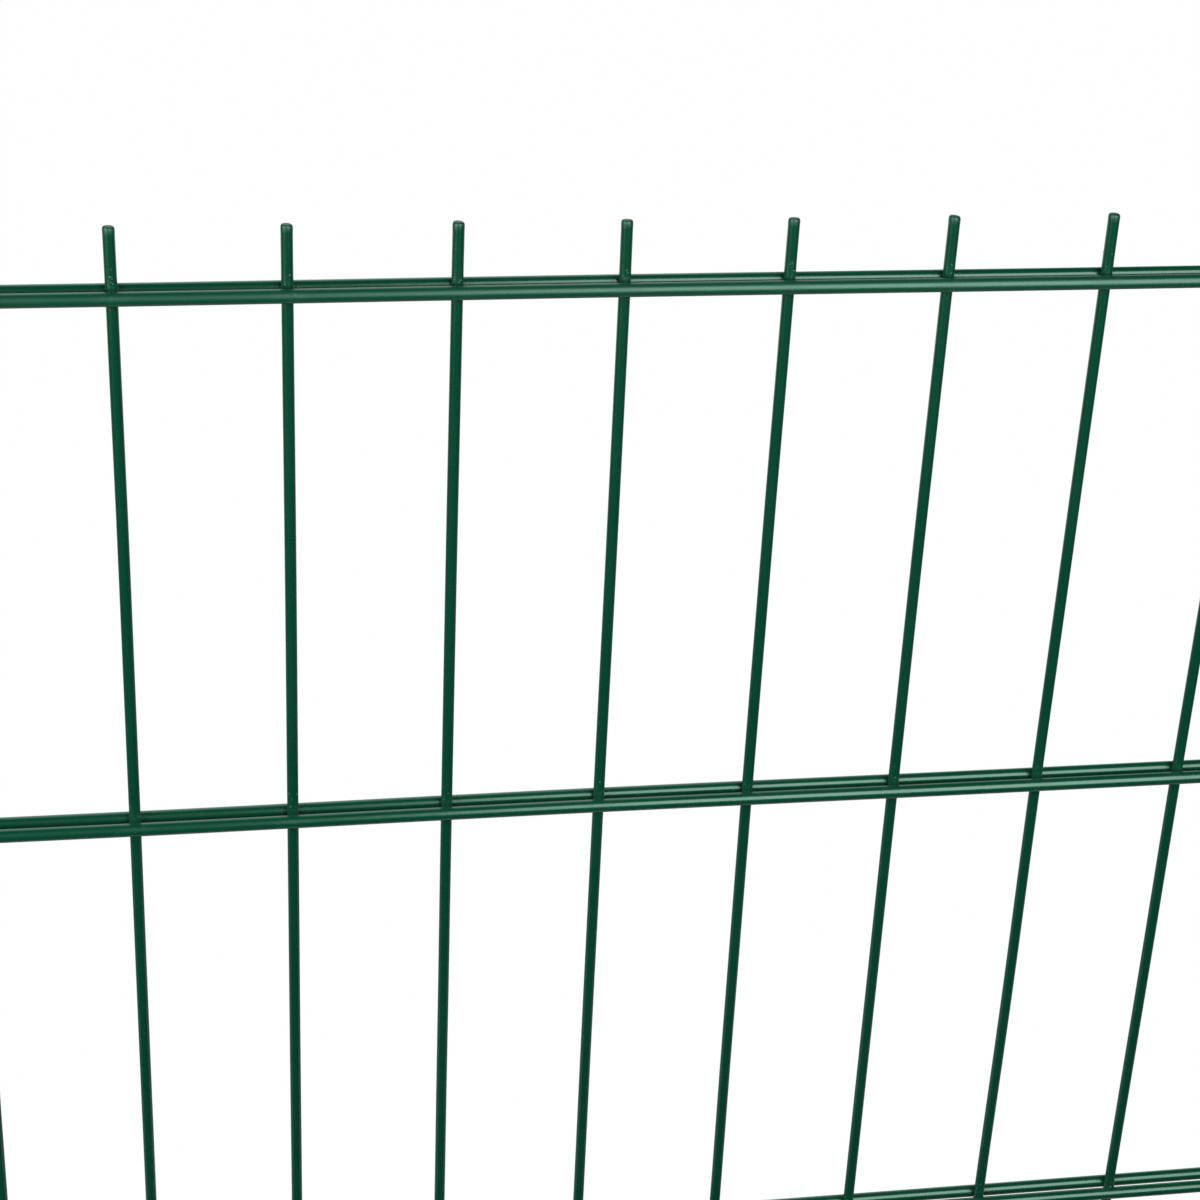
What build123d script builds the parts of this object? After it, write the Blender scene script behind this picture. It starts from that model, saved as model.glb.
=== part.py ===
from build123d import *
import os

# A welded mesh fence panel of round steel wire, in millimetres, +Z up.
# X runs along the panel and Y through its thickness, with the front at -Y.
# The origin is the cut foot of the middle vertical wire.

# Mesh: vertical wires side by side, and twin horizontal wires in rows
vertical_pitch = 55.0
vertical_count = 37
row_pitch = 200.0
row_count = 6

# Wires
vertical_diameter = 4.0
horizontal_diameter = 4.8
vertical_sides = 8
horizontal_sides = 12

# Where the wires are cut, measured from the outermost crossings
side_overhang = 10.0
tip_overhang = 23.0
foot_overhang = 7.0
end_chamfer = 0.6

# How far each horizontal wire sinks onto the vertical wires as it is welded
weld_set_down = 0.6

# Sizes that follow
vertical_length = foot_overhang + (row_count - 1) * row_pitch + tip_overhang
mesh_length = (vertical_count - 1) * vertical_pitch
horizontal_length = mesh_length + 2 * side_overhang
row_offset = (vertical_diameter + horizontal_diameter) / 2 - weld_set_down


# A cut length of wire standing on the origin, its flats facing along X and Y
def straight_wire(diameter, sides, length):
    flats_square_to_axes = 180 / sides
    section = RegularPolygon(
        diameter / 2, sides, major_radius=False, rotation=flats_square_to_axes
    )
    wire = extrude(section, length)
    cut_ends = wire.faces().filter_by(Axis.Z)
    return chamfer(cut_ends.edges(), end_chamfer)


# Every vertical wire, from left to right
def vertical_wires():
    wire = straight_wire(vertical_diameter, vertical_sides, vertical_length)
    return [
        Pos(index * vertical_pitch - mesh_length / 2, 0, 0) * wire
        for index in range(vertical_count)
    ]


# The lowest horizontal wire on one side, -1 front or +1 back, with a seat at each weld
def seated_horizontal_wire(side, uprights):
    wire = straight_wire(horizontal_diameter, horizontal_sides, horizontal_length)
    lying = Pos(-horizontal_length / 2, side * row_offset, foot_overhang) * Rot(0, 90, 0) * wire
    return lying - uprights


# The same seated wire on every row, from the bottom up
def horizontal_wires(side, uprights):
    lowest = seated_horizontal_wire(side, uprights)
    return [Pos(0, 0, row * row_pitch) * lowest for row in range(row_count)]


def write_parts():
    os.makedirs("parts", exist_ok=True)
    uprights = vertical_wires()
    for number, wire in enumerate(uprights, start=1):
        export_step(wire, f"parts/vertical_wire_{number:02d}.step")
    for name, side in (("front", -1), ("back", 1)):
        for number, wire in enumerate(horizontal_wires(side, uprights), start=1):
            export_step(wire, f"parts/{name}_horizontal_wire_{number}.step")


write_parts()
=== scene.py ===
import bpy
import bmesh
import math
import random
from mathutils import Matrix, Vector


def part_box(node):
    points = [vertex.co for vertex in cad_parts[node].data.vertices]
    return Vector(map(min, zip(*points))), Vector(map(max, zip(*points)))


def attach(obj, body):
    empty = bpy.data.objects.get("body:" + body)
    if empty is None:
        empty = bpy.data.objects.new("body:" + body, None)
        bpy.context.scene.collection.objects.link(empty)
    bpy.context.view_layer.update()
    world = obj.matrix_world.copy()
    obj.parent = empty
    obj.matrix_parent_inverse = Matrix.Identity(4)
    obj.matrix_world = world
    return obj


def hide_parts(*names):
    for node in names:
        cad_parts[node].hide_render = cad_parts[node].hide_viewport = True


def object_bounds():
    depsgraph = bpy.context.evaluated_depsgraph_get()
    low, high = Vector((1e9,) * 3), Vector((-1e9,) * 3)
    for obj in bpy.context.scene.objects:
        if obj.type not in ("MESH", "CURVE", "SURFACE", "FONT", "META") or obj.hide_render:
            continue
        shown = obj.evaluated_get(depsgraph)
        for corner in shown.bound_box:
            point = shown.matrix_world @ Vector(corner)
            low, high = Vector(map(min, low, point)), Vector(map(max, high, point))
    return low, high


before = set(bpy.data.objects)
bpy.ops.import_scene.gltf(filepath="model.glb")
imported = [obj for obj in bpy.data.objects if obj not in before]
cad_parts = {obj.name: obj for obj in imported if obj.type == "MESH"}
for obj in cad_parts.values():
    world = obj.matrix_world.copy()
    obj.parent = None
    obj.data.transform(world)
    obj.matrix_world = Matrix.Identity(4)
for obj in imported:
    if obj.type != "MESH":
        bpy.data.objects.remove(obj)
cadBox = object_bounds()

# The welded mesh panel stands along X with its front at -Y.
# Everything is in metres, but for the values whose notes say mm.
millimetre = 0.001
seamGap = 0.001 * millimetre    # points closer than this become one
bodyName = "root"


# The plain wires of the frame

def nodesStarting(word):
    return sorted(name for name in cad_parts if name.startswith(word))


def middleOf(node):
    low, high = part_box(node)
    return (low + high) / 2


# Meshes

def finishMesh(bm, name, material, smooth=True):
    # closes the seams, points every face outwards and makes the object, placed by its mesh alone
    bmesh.ops.remove_doubles(bm, verts=bm.verts, dist=seamGap)
    bmesh.ops.recalc_face_normals(bm, faces=bm.faces)
    for face in bm.faces:
        face.smooth = smooth
    mesh = bpy.data.meshes.new(name)
    bm.to_mesh(mesh)
    bm.free()
    mesh.materials.append(material)
    piece = bpy.data.objects.new(name, mesh)
    bpy.context.scene.collection.objects.link(piece)
    return piece


def wearCoat(piece, *nodes):
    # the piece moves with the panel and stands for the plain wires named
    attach(piece, bodyName)
    if nodes:
        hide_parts(*nodes)


# Wires, each drawn up from a ring
wireLook = {
    "sides": 24,
    "ringEvery": 25.0,      # mm between rings along a wire, so that it can bow
    # the coat rounds each sheared end and swells a little behind it:
    # mm from the cut, and share of the wire's radius there
    "endProfile": (
        (0.0, 0.55), (0.07, 0.70), (0.2, 0.82), (0.44, 0.915),
        (0.8, 0.972), (1.3, 1.002), (1.9, 1.008), (3.2, 1.0),
    ),
    "dome": 0.12,           # mm that the middle of a cut end stands out
    "tipCoat": 0.4,         # mm of coat on top of an upright wire's upper end
    "shearDepth": 2.8,      # mm from the cut that its slope reaches
    "shearSlope": (0.06, 0.17),     # how steeply a cut end falls away
    "shearTurn": (0.6, 1.4),    # radians from the wire's right to where it is cut shortest, at the back
    "shearDent": 0.05,      # mm
    "stray": 0.12,          # mm that a wire wanders off straight, as a rule
    "knotEvery": 3,         # vertical wires from one bend of a horizontal wire to the next
    "seed": 11,             # of all that is drawn by chance
}

# Blisters: beads of coat that boiled up on the vertical wires just above the welds
blisterLook = {
    "most": 4,              # at one crossing, on the front and as many on the back
    "above": (2.6, 10.0),   # mm over the middle of the row
    "wide": (0.6, 1.2),     # mm
    "long": (0.6, 1.6),     # mm
    "proud": (0.11, 0.23),  # mm that a blister stands out of the wire
    "aside": 1.1,           # radians round the wire to either side, from the middle of its front
    "sides": 8,
    "rings": 5,
    # the strings of them in the picture: wire, then mm over the row and radians to the right
    "seen": {
        "vertical_wire_16": (
            (3.2, -0.2), (4.1, 0.3), (4.7, 0.0), (5.9, 0.2), (6.5, -0.1), (9.2, 0.1),
        ),
        "vertical_wire_18": (
            (2.9, -0.8), (3.5, -0.65), (2.8, 0.2), (3.4, 0.6), (4.4, -0.75), (5.0, -0.6),
        ),
        "vertical_wire_19": (
            (2.9, -0.5), (3.4, -0.2), (3.3, 0.5), (5.2, 0.3), (6.0, 0.15),
        ),
        "vertical_wire_20": (
            (3.0, 0.1), (3.5, 0.55), (4.1, 0.2), (4.6, 0.65), (5.2, 0.35),
            (6.4, 0.05), (6.9, 0.3), (7.6, 0.15), (8.1, -0.15), (7.4, -0.3),
        ),
        "vertical_wire_21": (
            (3.0, 0.1), (5.6, 0.25), (6.3, 0.1),
        ),
    },
}

# How far the wires in the picture wander off straight, in mm to the right:
# at the tip, the top row, halfway down, the next row, and halfway to the row below
verticalStrays = {
    "vertical_wire_16": (-0.50, -0.33, 0.0, 0.02, -0.03),
    "vertical_wire_17": (0.15, 0.17, 0.26, 0.14, 0.07),
    "vertical_wire_18": (0.0, -0.07, -0.20, -0.15, 0.04),
    "vertical_wire_19": (-0.10, 0.12, 0.15, 0.0, -0.05),
    "vertical_wire_20": (0.44, 0.34, 0.0, -0.12, -0.06),
    "vertical_wire_21": (-0.10, -0.16, -0.30, -0.06, 0.08),
    "vertical_wire_22": (0.20, 0.16, 0.04, -0.08, 0.20),
}

# The same for the two rows in the picture, upwards at vertical wires 16, 19 and 22
rowStrays = {
    "5": (-0.37, 0.18, -0.14),
    "6": (-0.17, 0.08, -0.13),
}
knotsInPicture = slice(5, 8)


def strayAlong(knots, along):
    # a smooth line through knots, each a place along the wire and how far it strays there
    if along <= knots[0][0]:
        return knots[0][1]
    for (start, low), (end, high) in zip(knots, knots[1:]):
        if along <= end:
            share = (along - start) / (end - start)
            return low + (high - low) * (1 - math.cos(math.pi * share)) / 2
    return knots[-1][1]


def verticalKnots(node, rows, top, chance):
    # knots at the rows and halfway between them, from the foot up
    pitch = rows[1] - rows[0]
    places = [rows[0] + step * pitch / 2 for step in range(2 * len(rows) - 1)] + [top]
    strays = [chance.gauss(0, wireLook["stray"]) for _ in places]
    for index, stray in enumerate(verticalStrays.get(node, ())):
        strays[-1 - index] = stray
    return [(place, stray * millimetre) for place, stray in zip(places, strays)]


def horizontalKnots(node, columns, chance):
    places = columns[::wireLook["knotEvery"]]
    strays = [chance.gauss(0, wireLook["stray"]) for _ in places]
    strays[knotsInPicture] = rowStrays.get(node[-1], strays[knotsInPicture])
    return [(place, stray * millimetre) for place, stray in zip(places, strays)]


def drawnTube(bm, sides, rings):
    # a closed tube drawn up from a ring, through rings given as height, half width and half depth
    verts = bmesh.ops.create_circle(bm, segments=sides, radius=1)["verts"]
    edges = list({edge for vert in verts for edge in vert.link_edges})
    everyVert = list(verts)
    ends = [edges]
    last = None
    for ring in rings:
        if last:
            drawn = bmesh.ops.extrude_edge_only(bm, edges=edges)["geom"]
            verts = [part for part in drawn if isinstance(part, bmesh.types.BMVert)]
            drawnEdges = [part for part in drawn if isinstance(part, bmesh.types.BMEdge)]
            edges = [edge for edge in drawnEdges if set(edge.verts) <= set(verts)]
            everyVert += verts
        height, width, depth = last or (0, 1, 1)
        bmesh.ops.scale(bm, verts=verts, vec=(ring[1] / width, ring[2] / depth, 1))
        bmesh.ops.translate(bm, verts=verts, vec=(0, 0, ring[0] - height))
        last = ring
    ends.append(edges)
    caps = [bmesh.ops.holes_fill(bm, edges=end, sides=sides)["faces"][0] for end in ends]
    return everyVert, caps


def shearEnd(bm, cut, inwards, radius, chance):
    # tilts and dents the last bit of a wire at the height of its cut, as a shear leaves it
    slope = chance.uniform(*wireLook["shearSlope"])
    towards = chance.uniform(*wireLook["shearTurn"])
    phase = chance.uniform(0, math.tau)
    depth = wireLook["shearDepth"] * millimetre
    deepest = wireLook["shearDent"] * millimetre
    for vert in bm.verts:
        share = 1 - (vert.co.z - cut) * inwards / depth
        if share > 0:
            low = (vert.co.x * math.cos(towards) + vert.co.y * math.sin(towards) + radius) * slope
            dent = deepest * (1 + math.sin(2 * math.atan2(vert.co.y, vert.co.x) + phase))
            vert.co.z += inwards * share * (low + dent * vert.co.xy.length / radius)


def drawnWire(bm, radius, length, chance):
    near = [(away * millimetre, share * radius) for away, share in wireLook["endProfile"]]
    straight = length - 2 * near[-1][0]
    steps = round(straight / (wireLook["ringEvery"] * millimetre))
    between = [(near[-1][0] + straight * step / steps, radius) for step in range(1, steps)]
    rings = near + between + [(length - away, size) for away, size in reversed(near)]
    _, caps = drawnTube(bm, wireLook["sides"], [(along, size, size) for along, size in rings])
    for cap, outwards in zip(caps, (-1, 1)):
        middle = bmesh.ops.poke(bm, faces=[cap])["verts"]
        bmesh.ops.translate(bm, verts=middle, vec=(0, 0, outwards * wireLook["dome"] * millimetre))
    shearEnd(bm, 0, 1, radius, chance)
    shearEnd(bm, length, -1, radius, chance)


def blister(bm, radius, height, turn, chance):
    # a small bead sunk in the surface of an upright wire on the Z axis, turned from its front
    wide = chance.uniform(*blisterLook["wide"]) * millimetre
    long = chance.uniform(*blisterLook["long"]) * millimetre
    proud = chance.uniform(*blisterLook["proud"]) * millimetre
    verts = bmesh.ops.create_uvsphere(
        bm, u_segments=blisterLook["sides"], v_segments=blisterLook["rings"], radius=1)["verts"]
    bmesh.ops.scale(bm, verts=verts, vec=(wide / 2, 2 * proud, long / 2))
    bmesh.ops.translate(bm, verts=verts, vec=(0, proud - radius, height))
    bmesh.ops.rotate(bm, verts=verts, cent=(0, 0, 0), matrix=Matrix.Rotation(turn, 3, "Z"))


def blisters(bm, node, radius, heights, chance):
    for number, height in enumerate(heights, start=1):
        spots = []
        for front in (0, math.pi):
            for _ in range(chance.randint(0, blisterLook["most"])):
                above = chance.uniform(*blisterLook["above"])
                spots.append((above, front + chance.uniform(-1, 1) * blisterLook["aside"]))
        if number == len(heights):
            spots = blisterLook["seen"].get(node, spots)
        for above, turn in spots:
            blister(bm, radius, height + above * millimetre, turn, chance)


def verticalWire(node, knots, rows, material, chance):
    low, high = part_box(node)
    radius = (high.x - low.x) / 2
    bm = bmesh.new()
    drawnWire(bm, radius, high.z - low.z + wireLook["tipCoat"] * millimetre, chance)
    blisters(bm, node, radius, [row - low.z for row in rows], chance)
    foot = ((low.x + high.x) / 2, (low.y + high.y) / 2, low.z)
    bmesh.ops.translate(bm, verts=bm.verts, vec=foot)
    for vert in bm.verts:
        vert.co.x += strayAlong(knots, vert.co.z)
    piece = finishMesh(bm, "coated_" + node, material)
    wearCoat(piece, node)


def horizontalWire(node, knots, material, chance):
    low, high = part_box(node)
    bm = bmesh.new()
    drawnWire(bm, (high.z - low.z) / 2, high.x - low.x, chance)
    lying = Matrix.Rotation(math.pi / 2, 3, "Y")
    leftEnd = (low.x, (low.y + high.y) / 2, (low.z + high.z) / 2)
    bmesh.ops.rotate(bm, verts=bm.verts, cent=(0, 0, 0), matrix=lying)
    bmesh.ops.translate(bm, verts=bm.verts, vec=leftEnd)
    for vert in bm.verts:
        vert.co.z += strayAlong(knots, vert.co.x)
    piece = finishMesh(bm, "coated_" + node, material)
    wearCoat(piece, node)


# Weld flash: the small saddle of metal and coat squeezed out where two wires are welded
weldLook = {
    "sides": 14,
    # rings from inside the vertical wire to inside the horizontal one, all in mm:
    # distance from the vertical wire's middle, half width along the panel, half height
    "rings": ((1.0, 1.6, 2.8), (1.4, 1.8, 2.35), (1.95, 2.15, 2.1), (2.8, 2.7, 1.75)),
    "sizeSpread": 0.12,     # how much one weld differs from the next
    "shift": 0.15,          # mm that a weld may sit off the crossing
}


def weldFlash(bm, x, z, side, chance):
    grow = millimetre * (1 + chance.uniform(-1, 1) * weldLook["sizeSpread"])
    rings = [
        (depth * millimetre, width * grow, height * grow)
        for depth, width, height in weldLook["rings"]
    ]
    verts, _ = drawnTube(bm, weldLook["sides"], rings)
    shift = weldLook["shift"] * millimetre
    place = (x + chance.uniform(-shift, shift), 0, z + chance.uniform(-shift, shift))
    turn = Matrix.Rotation(-side * math.pi / 2, 3, "X")
    bmesh.ops.rotate(bm, verts=verts, cent=(0, 0, 0), matrix=turn)
    bmesh.ops.translate(bm, verts=verts, vec=place)


def weldRow(number, height, columns, knots, material, chance):
    bm = bmesh.new()
    for node, x in columns.items():
        for word, side in (("front", -1), ("back", 1)):
            across = strayAlong(knots[node], height)
            up = strayAlong(knots["%s_horizontal_wire_%d" % (word, number)], x)
            weldFlash(bm, x + across, height + up, side, chance)
    piece = finishMesh(bm, "weld_flash_row_%d" % number, material)
    wearCoat(piece)


# Materials

class Value:
    # a socket that Python operators can work on
    def __init__(self, shader, socket):
        self.shader = shader
        self.socket = socket

    def worked(self, operation, *values):
        return self.shader.node("Math", {"operation": operation}, dict(enumerate(values)))

    def other(self, name):
        return Value(self.shader, self.socket.node.outputs[name])

    def __add__(self, value):
        return self.worked("ADD", self, value)

    def __radd__(self, value):
        return self.worked("ADD", value, self)

    def __sub__(self, value):
        return self.worked("SUBTRACT", self, value)

    def __rsub__(self, value):
        return self.worked("SUBTRACT", value, self)

    def __mul__(self, value):
        return self.worked("MULTIPLY", self, value)

    def __rmul__(self, value):
        return self.worked("MULTIPLY", value, self)

    def __pow__(self, value):
        return self.worked("POWER", self, value)

    def __abs__(self):
        return self.worked("ABSOLUTE", self)


class Shader:
    def __init__(self, tree):
        self.tree = tree
        self.tree.nodes.clear()

    def node(self, kind, settings=None, sockets=None, output=0):
        # settings come first, because they decide which sockets there are
        made = self.tree.nodes.new("ShaderNode" + kind)
        for name, setting in (settings or {}).items():
            setattr(made, name, setting)
        for name, value in (sockets or {}).items():
            if isinstance(value, Value):
                self.tree.links.new(value.socket, made.inputs[name])
            else:
                made.inputs[name].default_value = value
        return Value(self, made.outputs[output]) if made.outputs else made

    def blend(self, factor, first, second):
        # a colour between two colours
        return self.node("Mix", {"data_type": "RGBA"}, {0: factor, 6: first, 7: second}, output=2)

    def soften(self, value, low, high):
        # 0 below low and 1 above high, or the other way round, with a smooth step between
        return self.node("MapRange", {"interpolation_type": "SMOOTHSTEP"},
                         {"Value": value, "From Min": low, "From Max": high})


def newMaterial(name):
    material = bpy.data.materials.new(name)
    material.use_nodes = True
    return material, Shader(material.node_tree)


coatLook = {
    "green": (0.0004, 0.050, 0.0245, 1),
    "paleGreen": (0.003, 0.058, 0.031, 1),
    # pale specks: dust all over, and at the welds also painted glints of the coat's bumps
    "dustAndGlintColour": (0.16, 0.24, 0.19, 1),
    "gloss": (0.64, 1.0, 0.84, 1),      # the coat's mirror colour
    "refraction": 1.7,
    "roughness": 0.24,
    "rowDullness": 0.11,    # how much rougher the front of the top row is
    "tipDullness": 0.2,     # and the sheared upper ends
    "weldDullness": 0.04,   # and the welds
    "driftDullness": 0.06,  # and the pale end of the drift, against its dark end
    "driftSize": 60.0,      # mm, the slow drift of tone along the wires
    "driftBand": (0.35, 0.75),      # of the noise, from all green to the most of the pale green
    "driftShare": 0.35,     # of the pale green, at its most
    "speckSize": 0.9,       # mm between the specks of dust and of painted glint
    "speckBand": (0.72, 0.78),      # of the noise, from no speck to a full one
    "speckShare": 0.05,     # of dust in a speck
    "weldGlintShare": 0.07,     # and this much more at a weld, as painted glints of the coat's bumps there
    "peelSize": 1.1,        # mm between the dimples of the coat
    "peelDepth": 0.006,     # mm
    "lumpSize": 1.2,        # mm, lumps of coat round the welds
    "lumpDepth": 0.04,      # mm
    "weldBand": (9.0, 2.7),     # mm from a weld, from none of its lumps to all of them
    "rowBand": (0.06, 0.02),    # of the row spacing, from off the top row to on it
    "frontBand": (-0.48, -0.6),     # of a vertical wire's thickness, from its front to clear of it
    "tipBand": (-2.6, -1.2),    # mm from the top, from below the sheared ends to on them
}


def powderCoat(mesh):
    material, shader = newMaterial("moss_green_powder_coat")
    place = shader.node("TexCoord", output="Object")
    apart = shader.node("SeparateXYZ", sockets={"Vector": place})
    across, through, up = apart.other("X"), apart.other("Y"), apart.other("Z")

    def noise(size, detail):
        return shader.node("TexNoise", {"noise_dimensions": "3D"}, {
            "Vector": place, "Scale": 1 / (size * millimetre), "Detail": detail, "Roughness": 0.5,
        })

    def toNearest(value, pitch):
        # the distance to the nearest of the places that lie a pitch apart, from zero on
        return shader.node("Math", {"operation": "WRAP"}, {0: value, 1: pitch / 2, 2: -pitch / 2})

    def onBand(value, band, unit=1.0):
        return shader.soften(value, band[0] * unit, band[1] * unit)

    # how near the closest weld is, along whichever wire this is
    toColumn = toNearest(across, mesh["pitch"])
    toRow = toNearest(up - mesh["lowestRow"], mesh["rowPitch"])
    toWeld = (toColumn * toColumn + toRow * toRow) ** 0.5
    atWeld = onBand(toWeld, coatLook["weldBand"], millimetre)

    peel = noise(coatLook["peelSize"], 1.0)
    lumps = noise(coatLook["lumpSize"], 2.0)
    drift = noise(coatLook["driftSize"], 2.0)
    specks = onBand(noise(coatLook["speckSize"], 0.0), coatLook["speckBand"])

    pale = onBand(drift, coatLook["driftBand"]) * coatLook["driftShare"]
    # dust specks all over, and more of them at the welds as painted glints of the coat's bumps
    dustAndGlintShare = specks * (coatLook["speckShare"] + coatLook["weldGlintShare"] * atWeld)
    green = shader.blend(pale, coatLook["green"], coatLook["paleGreen"])
    colour = shader.blend(dustAndGlintShare, green, coatLook["dustAndGlintColour"])

    atTopRow = onBand(abs(up - mesh["topRow"]), coatLook["rowBand"], mesh["rowPitch"])
    atFront = onBand(through, coatLook["frontBand"], mesh["wire"])
    atTip = onBand(up - mesh["top"], coatLook["tipBand"], millimetre)
    dullness = coatLook["rowDullness"] * atTopRow * atFront + coatLook["tipDullness"] * atTip
    drifting = coatLook["driftDullness"] * (drift - 0.5)
    roughness = coatLook["roughness"] + dullness + drifting + coatLook["weldDullness"] * atWeld
    height = (peel * coatLook["peelDepth"] + atWeld * lumps * coatLook["lumpDepth"]) * millimetre
    bump = shader.node("Bump", sockets={"Height": height, "Distance": 1.0, "Strength": 1.0})
    coat = shader.node("BsdfPrincipled", sockets={
        "Base Color": colour, "Roughness": roughness, "Normal": bump,
        "IOR": coatLook["refraction"], "Specular Tint": coatLook["gloss"],
    })
    shader.node("OutputMaterial", sockets={"Surface": coat})
    return material


# Stage

# White is what the camera sees all round, and what gloss sees behind the mesh.
# In front of the mesh the room is dim, so gloss there shows the soft boxes alone.

def whiteShare(shader, behind):
    rays = shader.node("LightPath")
    reflected = rays.other("Is Glossy Ray") + rays.other("Is Transmission Ray")
    return rays.other("Is Camera Ray") + reflected * behind


floorLook = {
    "left": -7.0, "right": 7.0, "front": -0.25, "back": 9.0,
    "colour": (0.9, 0.9, 0.9, 1),
    # the share of plain white in the floor, the rest of which takes shadows
    "shine": 0.996,
    "shineAtFoot": 0.85,
    # metres: the strip round the foot of the mesh that takes more shadow
    "footMiddle": 0.2,  # behind the mesh
    "footReach": 0.45,  # to its front and back from there
    "footSides": (1.9, 0.9),    # left and right of the origin, from none of it to all of it
    # metres behind the mesh, from where gloss sees a dim floor to where it sees white paper
    "whiteBand": (0.8, 2.2),
}


def makeFloor():
    material, shader = newMaterial("white_floor")
    plain = shader.node("BsdfDiffuse", sockets={"Color": floorLook["colour"]})
    white = shader.node("Emission", sockets={"Color": (1, 1, 1, 1), "Strength": 1.0})
    place = shader.node("TexCoord", output="Object")
    apart = shader.node("SeparateXYZ", sockets={"Vector": place})
    behind = shader.soften(apart.other("Y"), *floorLook["whiteBand"])
    nearFoot = shader.soften(abs(apart.other("Y") - floorLook["footMiddle"]), floorLook["footReach"], 0)
    atFoot = nearFoot * shader.soften(abs(apart.other("X")), *floorLook["footSides"])
    shine = floorLook["shine"] + (floorLook["shineAtFoot"] - floorLook["shine"]) * atFoot
    mixed = {0: whiteShare(shader, behind) * shine, 1: plain, 2: white}
    surface = shader.node("MixShader", sockets=mixed)
    shader.node("OutputMaterial", sockets={"Surface": surface})
    bm = bmesh.new()
    bmesh.ops.create_grid(bm, x_segments=1, y_segments=1, size=0.5)
    width = floorLook["right"] - floorLook["left"]
    depth = floorLook["back"] - floorLook["front"]
    middle = (floorLook["left"] + width / 2, floorLook["front"] + depth / 2, 0)
    bmesh.ops.scale(bm, verts=bm.verts, vec=(width, depth, 1))
    bmesh.ops.translate(bm, verts=bm.verts, vec=middle)
    floor = finishMesh(bm, "floor", material, smooth=False)


roomLook = {
    "whiteBand": (0.68, 0.93),  # how far backwards gloss looks, from where it sees dim to white
    "dim": 0.01,                # what the room gives from elsewhere
}


def makeWorld():
    world = bpy.data.worlds.new("studio")
    bpy.context.scene.world = world
    world.use_nodes = True
    shader = Shader(world.node_tree)
    direction = shader.node("SeparateXYZ", sockets={"Vector": shader.node("TexCoord")})
    behind = shader.soften(direction.other("Y"), *roomLook["whiteBand"])
    white = whiteShare(shader, behind)
    background = shader.node("Background", sockets={
        "Color": (1, 1, 1, 1), "Strength": roomLook["dim"] + (1 - roomLook["dim"]) * white,
    })
    shader.node("OutputWorld", sockets={"Surface": background})


# Soft boxes, placed from the top crossing at the middle of the picture, which they face.
# Level is how bright they are, where white is 1, and roll is in degrees.
softBoxes = {
    "key": {"place": (0.39, -0.76, 0.35), "width": 0.71, "height": 0.93, "level": 5.3, "roll": -12},
    "left": {"place": (-0.81, -0.59, 0.215), "width": 0.78, "height": 0.95, "level": 4.6, "roll": 0},
    "back": {"place": (-0.3, 1.6, 1.4), "width": 1.8, "height": 1.8, "level": 0.9, "roll": 0},
}


def makeSoftBox(name, look, target):
    lamp = bpy.data.lights.new(name, "AREA")
    lamp.shape = "RECTANGLE"
    lamp.size = look["width"]
    lamp.size_y = look["height"]
    lamp.energy = look["level"] * math.pi * look["width"] * look["height"]
    box = bpy.data.objects.new(name, lamp)
    bpy.context.scene.collection.objects.link(box)
    away = Vector(look["place"])
    box.visible_camera = False
    box.location = target + away
    roll = Matrix.Rotation(math.radians(look["roll"]), 3, "Z")
    box.rotation_euler = (away.to_track_quat("Z", "Y").to_matrix() @ roll).to_euler()


# The camera, placed from the mesh's top left crossing in the picture
cameraLook = {
    "fromCrossing": (0.0189, -0.8023, 0.3258),      # metres
    "crossing": ("vertical_wire_16", "front_horizontal_wire_6"),
    "turn": -10.66,     # degrees, to the right
    "tilt": -26.85,     # degrees, down
    "roll": 3.05,
    "lens": 79.98,      # mm
    "sensor": 36.0,     # mm
    "shift": (-0.0221, -0.0642),
    "clip": (0.01, 50),     # metres
}


def crossingPlace(vertical, horizontal):
    return Vector((middleOf(vertical).x, 0, middleOf(horizontal).z))


def makeCamera():
    data = bpy.data.cameras.new("camera")
    data.lens = cameraLook["lens"]
    data.sensor_width = cameraLook["sensor"]
    data.shift_x, data.shift_y = cameraLook["shift"]
    data.clip_start, data.clip_end = cameraLook["clip"]
    camera = bpy.data.objects.new("camera", data)
    bpy.context.scene.collection.objects.link(camera)
    place = crossingPlace(*cameraLook["crossing"]) + Vector(cameraLook["fromCrossing"])
    turn = Matrix.Rotation(math.radians(cameraLook["turn"]), 4, "Z")
    tilt = Matrix.Rotation(math.radians(90 + cameraLook["tilt"]), 4, "X")
    roll = Matrix.Rotation(math.radians(cameraLook["roll"]), 4, "Z")
    camera.matrix_world = Matrix.Translation(place) @ turn @ tilt @ roll
    bpy.context.scene.camera = camera


# The whole panel

def build():
    makeCamera()
    fronts, backs = nodesStarting("front_horizontal"), nodesStarting("back_horizontal")
    columns = {node: middleOf(node).x for node in nodesStarting("vertical_wire")}
    rows = [middleOf(node).z for node in fronts]
    across = list(columns.values())
    wireLow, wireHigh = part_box("vertical_wire_01")
    coat = powderCoat({
        "pitch": across[1] - across[0],
        "rowPitch": rows[1] - rows[0],
        "lowestRow": rows[0],
        "topRow": rows[-1],
        "wire": wireHigh.x - wireLow.x,
        "top": cadBox[1].z,
    })
    print("powder coat is mixed")
    chance = random.Random(wireLook["seed"])
    knots = {}
    for node in columns:
        knots[node] = verticalKnots(node, rows, cadBox[1].z, chance)
        verticalWire(node, knots[node], rows, coat, chance)
    for node in fronts + backs:
        knots[node] = horizontalKnots(node, across, chance)
        horizontalWire(node, knots[node], coat, chance)
    print("wires:", len(knots))
    for number, height in enumerate(rows, start=1):
        weldRow(number, height, columns, knots, coat, chance)
    print("weld rows:", len(rows))
    makeFloor()
    makeWorld()
    target = crossingPlace("vertical_wire_19", "front_horizontal_wire_6")
    for name, look in softBoxes.items():
        makeSoftBox(name, look, target)
    print("stage and soft boxes are up")


build()
bpy.context.scene.view_settings.view_transform = "Standard"
